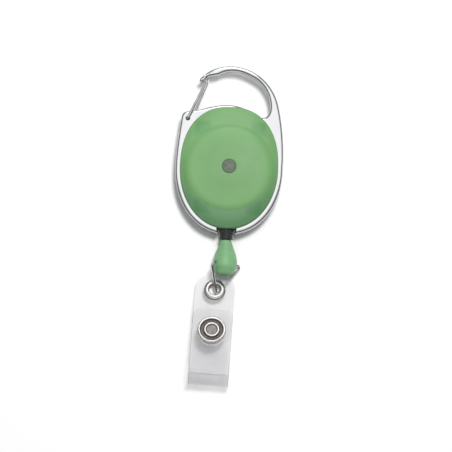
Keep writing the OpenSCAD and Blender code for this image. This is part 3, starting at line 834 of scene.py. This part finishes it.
def front_shell():
    """The green upper half: oval rim, round dome, hollow inside."""
    base = oval(0)
    rings = [flat_ring(oval(inset), z) for inset, z in (
        (SPIGOT_IN, CORD_Z + 0.02), (SPIGOT_IN, 7.7), (SPIGOT_IN - 0.15, 7.85), (0.2, 7.85), (0.06, 7.9),
        (0, 8.02), (0, 8.3), (0, 8.5),
    )]
    for d in (0.03, 0.1, 0.2, 0.35, 0.55, 0.85, 1.15):
        outline = oval(d)
        rings.append([(x, y, rim_top((x, y))) for x, y in outline])
    outline = oval(1.15)
    foot = DOME_R + 0.3
    for share in (0.15, 0.3, 0.45, 0.6, 0.75, 0.88, 1.0):
        rings.append(between(outline, foot, share, rim_top))
    for r in (16.85, 16.75, 16.68, 16.6, 16.5, 16.35, 16.1, 15.8, 15.4, 15, 14.4, 13.4, 12, 10.5, 9, 7.5,
              6, 4.8, 3.8):
        rings.append(round_ring(r, dome_top, base))
    recess_z = SHELL_TOP - HEAD_H
    recess_r = HEAD_R + 0.05
    rings.append(round_ring(recess_r + 0.3, lambda r, spot: SHELL_TOP - 0.02, base))
    rings.append(round_ring(recess_r + 0.08, lambda r, spot: SHELL_TOP - 0.05, base))
    for r, z in ((recess_r, SHELL_TOP - 0.14), (recess_r, recess_z), (AXLE_R + 0.05, recess_z),
                 (AXLE_R + 0.05, 10.0), (3.2, 10.0)):
        rings.append(round_ring(r, lambda r, spot, z=z: z, base))
    for r in (3.25, 5, 7, 9, 11, 12.5, 13.7, 14.5, 15, 15.3, 15.5, 15.65, 15.7):
        rings.append(round_ring(r, lambda r, spot: inner_dome(r), base))
    rings.append(round_ring(CHAMBER_R, lambda r, spot: 8.9, base))
    rings.append([(x, y, 8.8) for x, y in oval(CAVITY_IN)])
    rings.append(flat_ring(oval(CAVITY_IN), CORD_Z + 0.02))
    points, faces = ring_surface(rings, closed=True)
    piece = add_mesh("front_cover", points, faces, 50)
    subtract(piece, cord_way("cut_front_way"))
    settle(piece, "housing", "green_shell", "front_shell")


def back_shell():
    """The green lower half: flat back with the washer's recess, rounded edge, arbor inside."""
    base = oval(0)
    recess_r, recess_z = 3.5, 0.9
    arbor_r, arbor_top = 2.8, 7.6

    def circle(r, z):
        return round_ring(r, lambda r, spot: z, base)

    rings = [
        circle(AXLE_R + 0.05, recess_z), circle(recess_r - 0.1, recess_z), circle(recess_r, recess_z - 0.1),
        circle(recess_r, 0.15), circle(recess_r + 0.15, 0), circle(9, 0), circle(14, 0),
    ]
    rings += [flat_ring(oval(inset), z) for inset, z in (
        (2.9, 0), (2.3, 0.08), (1.7, 0.3), (1.1, 0.65), (0.6, 1.1), (0.25, 1.6), (0.06, 2.1), (0, 2.5),
        (0, 3.15), (0.06, 3.3), (0.2, 3.35), (SPIGOT_IN, 3.35), (SPIGOT_IN, CORD_Z - 0.02),
        (CAVITY_IN, CORD_Z - 0.02), (CAVITY_IN, 1.6), (CAVITY_IN + 0.4, WALL),
    )]
    rings += [
        circle(14, WALL), circle(9, WALL), circle(4.6, WALL),
        circle(4.4, 1.4), circle(4.4, 1.9), circle(arbor_r, 1.9), circle(arbor_r, arbor_top - 0.2),
        circle(arbor_r - 0.2, arbor_top), circle(AXLE_R + 0.05, arbor_top),
    ]
    points, faces = ring_surface(rings, closed=True)
    piece = add_mesh("back_cover", points, faces, 50)
    slot = add_mesh("cut_arbor", *box_mesh((0, -0.3, 1.9), (4, 0.3, 9)))
    subtract(piece, cord_way("cut_back_way"), slot)
    settle(piece, "housing", "green_shell", "back_shell")


def box_mesh(low, high):
    """A plain box, for a cutter."""
    rings = [
        [(x, low[1], low[2]), (x, high[1], low[2]), (x, high[1], high[2]), (x, low[1], high[2])]
        for x in (low[0], high[0])
    ]
    return ring_surface(rings)


def cord_way(name):
    """Cutter for the cord's hole through the rim, funnelled inside, and the seat of the stop."""
    return lathe(name, [
        (0, 18), (3, 18), (3, 19.5), (1, 22.2), (1, 22.9), (2.85, 22.9), (2.85, 26), (0, 26),
    ], along_cord(), 0, 48)


def rivet():
    """The rivet through the spool: a faintly crowned head, and a closed end over its washer."""
    top = SHELL_TOP
    profile = [
        (0, 0), (1.7, 0), (2.1, 0.5), (AXLE_R, 0.5), (AXLE_R, top - HEAD_H), (HEAD_R, top - HEAD_H),
        (HEAD_R, top - 0.16), (HEAD_R - 0.3, top - 0.03), (1.2, top), (0, top),
    ]
    settle(lathe("rivet", profile, None, 0.06), "housing", "rivet_steel", "axle_rivet")
    washer = [(AXLE_R, 0.5), (3.3, 0.5), (3.3, 0.9), (AXLE_R, 0.9)]
    settle(lathe("washer", washer), "housing", "nickel", "rivet_washer")


def lugs():
    """Inner lugs that locate the two halves, seen dimly through the shell."""
    for i, (x, y) in enumerate(((-6.5, 17), (6.5, 17), (-8.5, -15.6), (8.5, -15.6))):
        profile = [(0, 3.3), (0.7, 3.3), (0.7, CORD_Z), (1.3, CORD_Z), (1.3, 8.78), (0, 8.78)]
        piece = lathe(f"lug_{i + 1}", profile, Matrix.Translation((x, y, 0)), 0.08, 32)
        settle(piece, "housing", "green_shell")


# ---------- spool, spring and cord ----------

def spool():
    """The reel: two flanges for the cord, a cup inside for the spring, and the anchor's hole."""
    bore_r, drum_r, spool_r = 1.55, 10.5, 15.2
    cup_r = drum_r - 0.8
    profile = [
        (bore_r, 7.9), (3.2, 7.9), (3.2, 8.5), (cup_r, 8.5), (cup_r, 2.6), (drum_r, 2.6), (drum_r, 3.9),
        (spool_r, 3.9), (spool_r, 4.6), (drum_r, 4.6), (drum_r, 6.6), (spool_r, 6.6), (spool_r, 7.3),
        (drum_r, 7.3), (drum_r, 9.3), (3.2, 9.3), (3.2, 9.7), (bore_r, 9.7),
    ]
    piece = lathe("reel_spool", profile, None, 0.15, 128)
    anchor = Matrix.Translation((0, 11.4, 0))
    hole = lathe("cut_anchor", [(0, 6.5), (0.55, 6.5), (0.55, 7.4), (0, 7.4)], anchor, 0, 24)
    subtract(piece, hole)
    settle(piece, "reel", "reel_white", "spool")


def wound_cord():
    """The cord's turns as ridges round the drum."""
    low, high, inner, outer = 4.66, 6.54, 10.55, 14.2
    turns, layers, steps, ridge = 3, 5, 6, 0.12
    width = (high - low) / turns
    depth = (outer - inner) / layers
    profile = []

    def ridges(start, step, count, lift):
        for i in range(count):
            for s in range(steps):
                t = i + s / steps
                swell = math.sin(math.pi * (t - i))
                profile.append(tuple(start + step * t + lift * swell * ridge - lift * ridge))

    ridges(Vector((inner, low)), Vector((depth, 0)), layers, Vector((0, -1)))
    ridges(Vector((outer, low)), Vector((0, width)), turns, Vector((1, 0)))
    ridges(Vector((outer, high)), Vector((-depth, 0)), layers, Vector((0, 1)))
    profile += [(inner, high), (inner, low)]
    piece = lathe("cord_turns", profile, None, 0, 96)
    settle(piece, "reel", "cord", "wound_cord")


def cord():
    """The cord from the winding to the exit, and the straight stretch that the pull draws out."""
    radius = CORD_D * 0.48
    inner_route = ((11.1, -9.6), (6, -15.5), (1.4, -20.8), (0.3, -22), (0, -23))
    inside = tube("cord_inside", [Vector((x, y, CORD_Z)) for x, y in inner_route], radius, sides=12)
    settle(inside, "housing", "cord", "cord_lead")
    start, end, rings = -22.2, -30.9, 160
    path = [Vector((0, start + (end - start) * i / rings, CORD_Z)) for i in range(rings + 1)]
    outside = tube("cord_drawn", path, radius, sides=12)
    settle(outside, None, "cord")
    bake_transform(outside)
    knot = lathe("knot", [
        (0, 30.25), (0.6, 30.4), (1, 30.9), (1.03, 31.4), (0.9, 31.9), (0.5, 32.3), (0, 32.34),
    ], along_cord(), 0.2, 32)
    settle(knot, "cord_end", "cord", "cord_knot")


def stop():
    """The black collar at the exit, with three grooves."""
    r, low, high = 2.55, 23.15, 26.7
    bore = CORD_D / 2
    profile = [(bore, low), (r - 0.15, low), (r, low + 0.15), (r, low + 0.6), (r - 0.2, low + 0.75)]
    for y in (24.35, 24.95, 25.55):
        profile += [(r - 0.2, y - 0.22), (r - 0.3, y - 0.1), (r - 0.3, y + 0.1), (r - 0.2, y + 0.22)]
    profile += [(r - 0.2, high - 0.75), (r, high - 0.6), (r, high - 0.15), (r - 0.15, high), (bore, high)]
    settle(lathe("stop", profile, along_cord(), 0.06), "cord_end", "black_plastic", "cord_stop")


def fitting():
    """The tear-shaped fitting: two moulded grooves, the cord's hole and the bar's."""
    start, end, widest = 26.95, 39.8, 4.45
    line = [(0, start)] + curves(
        (1.6, start),
        ((1.9, start), (2, start + 0.2), (2.1, start + 0.5), 6),
        ((2.9, 30), (widest, 32.6), (widest, BAR_Y - 0.8), 28),
        ((widest, BAR_Y - 0.3), (widest, BAR_Y + 0.3), (widest, BAR_Y + 0.8), 4),
        ((widest, 37.2), (3.8, 38.2), (3.3, 39.1), 14),
        ((3, 39.6), (2.8, end), (2.2, end), 8),
    ) + [(2.2, end), (0, end)]
    depth, spread = 0.14, 0.32
    profile = []
    for r, y in line:
        groove = sum(depth * math.exp(-((y - at) / spread) ** 2) for at in (30.2, 33.4))
        profile.append((max(r - groove, 0), y))
    piece = lathe("fitting", profile, along_cord(), 0, 128, 50)
    way = lathe("cut_cord", [(0, start - 1), (0.75, start - 1), (0.6, start + 0.2), (0.6, 30), (0, 30)],
                along_cord(), 0, 32)
    pocket = lathe("cut_pocket", [(0, 29.7), (1.5, 29.7), (1.5, 32.7), (0, 32.7)], along_cord(), 0, 32)
    bar = lathe("cut_bar", [(0, -10), (0.55, -10), (0.55, 10), (0, 10)],
                at_bar() @ Matrix.Rotation(math.radians(90), 4, "Y"), 0, 32)
    subtract(piece, way, pocket, bar)
    settle(piece, "fitting", "green_fitting", "end_fitting")


def link():
    """The triangle of spring wire."""
    side, corner, shift = 14.5, 1.2, 0.76
    height = side * math.sqrt(3) / 2
    corners = [Vector((-side / 2, 0, 0)), Vector((0, -height, 0)), Vector((side / 2, 0, 0))]
    path = bend_corners(corners, [corner] * 3, closed=True, steps=10)
    drop = Matrix.Rotation(math.radians(LINK_DROP), 4, "X")
    place = at_bar() @ drop @ Matrix.Translation((shift, 0, 0))
    settle(tube("link", path, WIRE_R, True, 20, place), "link", "wire", "wire_link")


# ---------- strap ----------

def bend_end(state, length, turn):
    """The place and heading after a straight or a bend of that length, from (u, z, heading)."""
    u, z, heading = state
    before = math.radians(heading)
    if turn == 0:
        return (u + length * math.cos(before), z + length * math.sin(before), heading)
    r = length / math.radians(turn)
    after = math.radians(heading + turn)
    return (
        u + r * (math.sin(after) - math.sin(before)),
        z - r * (math.cos(after) - math.cos(before)),
        heading + turn,
    )


def follow(state, bends):
    """States along the bends, closer together where the strap turns."""
    spacing, turn_each = 0.5, 5
    line = [state]
    for length, turn in bends:
        count = max(2, math.ceil(length / spacing), math.ceil(abs(turn) / turn_each))
        for i in range(1, count + 1):
            line.append(bend_end(state, length * i / count, turn * i / count))
        state = line[-1]
    return line


def strap_lines():
    """The middle lines of the front layer, the fold and the back layer, and the snap's two places."""
    slope = math.radians(SLOPE)
    start = (-STRAP_END * math.cos(slope), EYE.z - STRAP_END * math.sin(slope), SLOPE)
    before_snap = STRAP_END + SNAP_REACH - SNAP_FLAT
    levelling = 4.2
    front = follow(start, [
        (before_snap, 0), (2 * SNAP_FLAT, 0), (levelling, -SLOPE), (FOLD_REACH - SNAP_FLAT - levelling, 0),
    ])
    crest = front[-1]
    fold_r = (crest[1] - STRAP_T / 2) / 2
    fold = follow(crest, [(fold_r * math.pi / 2, -90), (fold_r * math.pi / 2, -90)])
    snap_front = bend_end(start, before_snap + SNAP_FLAT, 0)
    snap_back = (
        snap_front[0] + LAYER_GAP * math.sin(slope), snap_front[1] - LAYER_GAP * math.cos(slope), SLOPE,
    )
    lift, lift_r = 42, 4
    sin_l, cos_l = math.sin(math.radians(lift)), math.cos(math.radians(lift))
    run_u = crest[0] - lift_r * sin_l - (snap_back[0] + SNAP_FLAT * math.cos(slope))
    run_z = snap_back[1] + SNAP_FLAT * math.sin(slope) - (STRAP_T / 2 + lift_r * (1 - cos_l))
    ease_u = sin_l + math.sin(slope)
    ease_z = math.cos(slope) - cos_l
    ease_r = (run_u * sin_l - run_z * cos_l) / (ease_u * sin_l - ease_z * cos_l)
    back = follow(fold[-1], [
        (lift_r * math.radians(lift), -lift), ((run_z - ease_r * ease_z) / sin_l, 0),
        (ease_r * math.radians(lift + SLOPE), lift + SLOPE), (SNAP_FLAT + TAIL_END, 0),
    ])
    return front, fold, back, snap_front, snap_back


FRONT_LINE, FOLD_LINE, BACK_LINE, SNAP_FRONT, SNAP_BACK = strap_lines()


def at_strap():
    """The strap's own place: its origin on the table under the eyelet, Y towards the hook."""
    return Matrix.Translation((EYE.x, EYE.y, 0)) @ Matrix.Rotation(math.radians(STRAP_YAW), 4, "Z")


def on_strap(spot):
    """Places a shape on the strap's middle line, with +Z out of the front face."""
    return (at_strap() @ Matrix.Translation((0, -spot[0], spot[1]))
            @ Matrix.Rotation(math.radians(-spot[2]), 4, "X"))


def vinyl_layer(name, line, round_start=0.0, round_end=0.0):
    """A layer of vinyl swept along its middle line, its edges rounded and its free corners cut round."""
    half_t, soft, shoulder = STRAP_T / 2, 0.1, 0.07
    lengths = [0.0]
    for a, b in zip(line, line[1:]):
        lengths.append(lengths[-1] + math.hypot(b[0] - a[0], b[1] - a[1]))
    stations = [(lengths[i], line[i]) for i in range(len(line))]
    for r, from_end in ((round_start, False), (round_end, True)):
        if r:
            stations = crowd(stations, r, from_end, lengths[-1])
    rings = []
    for along, (u, z, heading) in stations:
        half_w = STRAP_W / 2
        for r, left in ((round_start, along), (round_end, lengths[-1] - along)):
            if r and left < r:
                half_w -= r - math.sqrt(max(0, r * r - (r - left) ** 2))
        h = math.radians(heading)
        out = Vector((0, math.sin(h), math.cos(h)))
        middle = Vector((0, -u, z))
        section = []
        for side in (1, -1):
            for x, lift in ((half_w - soft, half_t), (half_w - 0.03, half_t - shoulder), (half_w, 0),
                            (half_w - 0.03, shoulder - half_t), (half_w - soft, -half_t)):
                section.append(middle + Vector((side * x, 0, 0)) + out * lift * side)
            for share in (0.6, 0.2, -0.2, -0.6):
                section.append(middle + Vector((side * half_w * share, 0, 0)) - out * half_t * side)
        rings.append(section)
    points, faces = ring_surface(rings)
    return add_mesh(name, points, faces, 50, at_strap())


def crowd(stations, r, from_end, total):
    """More stations along a rounded end, where the width changes quickly."""
    steps = 12
    base, state = (total, stations[-1][1]) if from_end else (0, stations[0][1])
    kept = [(along, spot) for along, spot in stations if abs(along - base) > r + 0.01]
    for step in range(steps + 1):
        gone = r * (1 - math.cos(math.pi / 2 * step / steps))
        away = -gone if from_end else gone
        kept.append((base + away, bend_end(state, away, 0)))
    return sorted(kept, key=lambda item: item[0])


def strap():
    """The vinyl: the front layer, the fold and the back layer."""
    def hole(name, r, place, around):
        return lathe(name, [(0, -1), (r, -1), (r, 1), (0, 1)], on_strap(place), 0, around)

    front = vinyl_layer("vinyl_front", FRONT_LINE, round_start=5)
    subtract(front, hole("cut_eye", 2.55, (0, EYE.z, SLOPE), 64), hole("cut_snap", 2, SNAP_FRONT, 48))
    settle(front, "strap", "vinyl", "strap_front")
    dark_edges(front)
    back = vinyl_layer("vinyl_back", BACK_LINE, round_end=2.5)
    subtract(back, hole("cut_post", 1.2, SNAP_BACK, 48))
    settle(back, "strap_flap", "vinyl", "strap_back")
    back.data.materials[0] = MATERIALS["vinyl_clear"]
    dark_edges(back)
    fold = vinyl_layer("vinyl_fold", FOLD_LINE)
    settle(fold, None, "vinyl")
    dark_edges(fold)
    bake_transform(fold)


def eyelet():
    """The eyelet: a rolled ring on the front, its barrel, and the washer behind."""
    hole_r, outer_r, face = 2.2, 4.05, STRAP_T / 2
    place = on_strap((0, EYE.z, SLOPE))
    barrel = [
        (hole_r, -0.65), (hole_r + 0.15, -0.8), (hole_r + 0.75, -0.8), (hole_r + 0.9, -0.62),
        (hole_r + 0.3, -0.62),
        (hole_r + 0.3, face), (outer_r - 0.1, face), (outer_r, face + 0.15), (outer_r - 0.25, face + 0.4),
        (hole_r + 0.9, 0.78), (hole_r + 0.3, 0.78), (hole_r, 0.6),
    ]
    ring = settle(lathe("eyelet_ring", barrel, place, 0.14), "strap", "nickel", "eyelet")
    # Painted shade in the eyelet's hole.
    shade_hollow(ring, place, 0, hole_r + 0.08)
    washer = [
        (hole_r + 0.35, -0.6), (outer_r - 0.2, -0.5), (outer_r, -0.35), (outer_r, -face),
        (hole_r + 0.35, -face),
    ]
    settle(lathe("eyelet_back", washer, place, 0.05), "strap", "nickel", "eyelet_washer")


def snap():
    """The snap: cap, cup and grip ring on the front layer, stud and its rivet on the back one."""
    r, face = 5.3, STRAP_T / 2
    front, back = on_strap(SNAP_FRONT), on_strap(SNAP_BACK)
    cap = [
        (1.3, -0.6), (1.9, -0.6), (1.9, face), (r - 0.25, face), (r, face + 0.3), (r, face + 0.95),
        (r - 0.18, face + 1.15), (r - 0.9, face + 1.2), (r - 1.1, face + 1.05), (r - 1.15, face + 0.3),
        (2.95, face + 0.3), (2.9, face + 1.05), (2.75, face + 1.2), (2.2, face + 1.2), (2.05, face + 1.05),
        (2.0, face + 0.5), (0, face + 0.5), (0, face + 0.2), (1.3, face + 0.2),
    ]
    cap_piece = settle(lathe("snap_front", cap, front, 0.16), "strap", "nickel", "snap_cap")
    # Painted shade in the cap's ring groove.
    shade_hollow(cap_piece, front, 2.92, 4.17)
    # Lighter painted shade in the cap's hollow middle.
    shade_faces(cap_piece, front, "centre_shaded_nickel", lambda spot: math.hypot(spot.x, spot.y) < 2.02)
    cup = [
        (1.95, -face), (r - 0.5, -face), (r - 0.1, -face - 0.3), (r - 0.1, -2.2), (r - 0.5, -2.55),
        (2.9, -2.55),
        (2.5, -2.3), (2.5, -2), (r - 0.9, -2), (r - 0.9, -1), (1.95, -1),
    ]
    settle(lathe("snap_cup", cup, front, 0.12), "strap", "nickel", "snap_socket")
    ring_r, ring_wire_r, ring_z = 2.35, 0.25, -1.74
    ring = [Vector((ring_r * math.cos(math.radians(a)), ring_r * math.sin(math.radians(a)), ring_z))
            for a in range(20, 341, 8)]
    settle(tube("snap_ring", ring, ring_wire_r, sides=12, place=front), "strap", "wire", "snap_spring")
    stud = [
        (0, face), (4.6, face), (4.6, face + 0.2), (4.3, face + 0.35), (1.75, face + 0.35),
        (1.55, face + 0.7),
        (1.55, face + 1), (1.75, face + 1.4), (1.5, face + 1.75), (0.9, face + 1.85), (0, face + 1.85),
    ]
    settle(lathe("stud", stud, back, 0.1), "strap_flap", "nickel", "snap_stud")
    post = [
        (0, -face - 0.6), (1.6, -face - 0.6), (1.9, -face - 0.9), (4, -face - 0.9), (4.5, -face - 0.6),
        (4.6, -face - 0.2), (4.5, -face), (1.15, -face), (1.15, face), (0, face),
    ]
    settle(lathe("stud_back", post, back, 0.12), "strap_flap", "nickel", "snap_post")


# ---------- stage ----------

def stage():
    """White table, a small lamp nearly overhead for the shadows and a wide one behind for the sheen."""
    half, z = 1.2 / MM, -0.02
    corners = [(-half, -half, z), (half, -half, z), (half, half, z), (-half, half, z)]
    floor = add_mesh("table", corners, [(0, 1, 2, 3)])
    look = Look("table", (0.9, 0.9, 0.9), 0.6)
    look.mottle(look.noise(40, 2), 0.995)
    floor.data.materials.append(look.material)
    lamp("key", (0.11, 0.19, 0.83), 0.2, 6.0, glossy=False)
    lamp("back", (0.03, 0.7, 0.8), 0.5, 1.3)
    sky()
    bpy.context.scene.view_settings.view_transform = "Standard"


def lamp(name, place, size, power_w, glossy=True):
    """A round lamp that faces the object's middle, its place and size in metres."""
    data = bpy.data.lights.new(name, "AREA")
    data.shape = "DISK"
    data.size = size
    data.energy = power_w
    light = new_object(name, data)
    light.visible_glossy = glossy
    light.location = place
    aim = Vector((0, -0.02, 0)) - Vector(place)
    light.rotation_euler = aim.to_track_quat("-Z", "Y").to_euler()


def sky():
    """A bright studio overhead that falls off to a darker room at the sides."""
    world = bpy.data.worlds.new("studio")
    world.use_nodes = True
    nodes, links = world.node_tree.nodes, world.node_tree.links
    background = nodes["Background"]
    place = nodes.new("ShaderNodeTexCoord")
    split = nodes.new("ShaderNodeSeparateXYZ")
    ramp = nodes.new("ShaderNodeValToRGB")
    links.new(place.outputs["Generated"], split.inputs["Vector"])
    links.new(split.outputs["Z"], ramp.inputs["Fac"])
    links.new(ramp.outputs["Color"], background.inputs["Color"])
    stops = ramp.color_ramp.elements
    stops[0].position, stops[0].color = 0.0, (0.08, 0.08, 0.08, 1)
    stops[1].position, stops[1].color = 0.96, (1.0, 1.0, 1.0, 1)
    for height, value in ((0.5, 0.1), (0.75, 0.25), (0.9, 0.7)):
        stops.new(height).color = (value, value, value, 1)
    bpy.context.scene.world = world


cord()
carabiner_frame()
wire_gate()
front_shell()
back_shell()
rivet()
lugs()
spool()
wound_cord()
dress("spring_cover", "reel_white")
dress("mainspring", "spring_steel")
dress("cord_anchor", "cord")
stop()
fitting()
link()
strap()
eyelet()
snap()
stage()
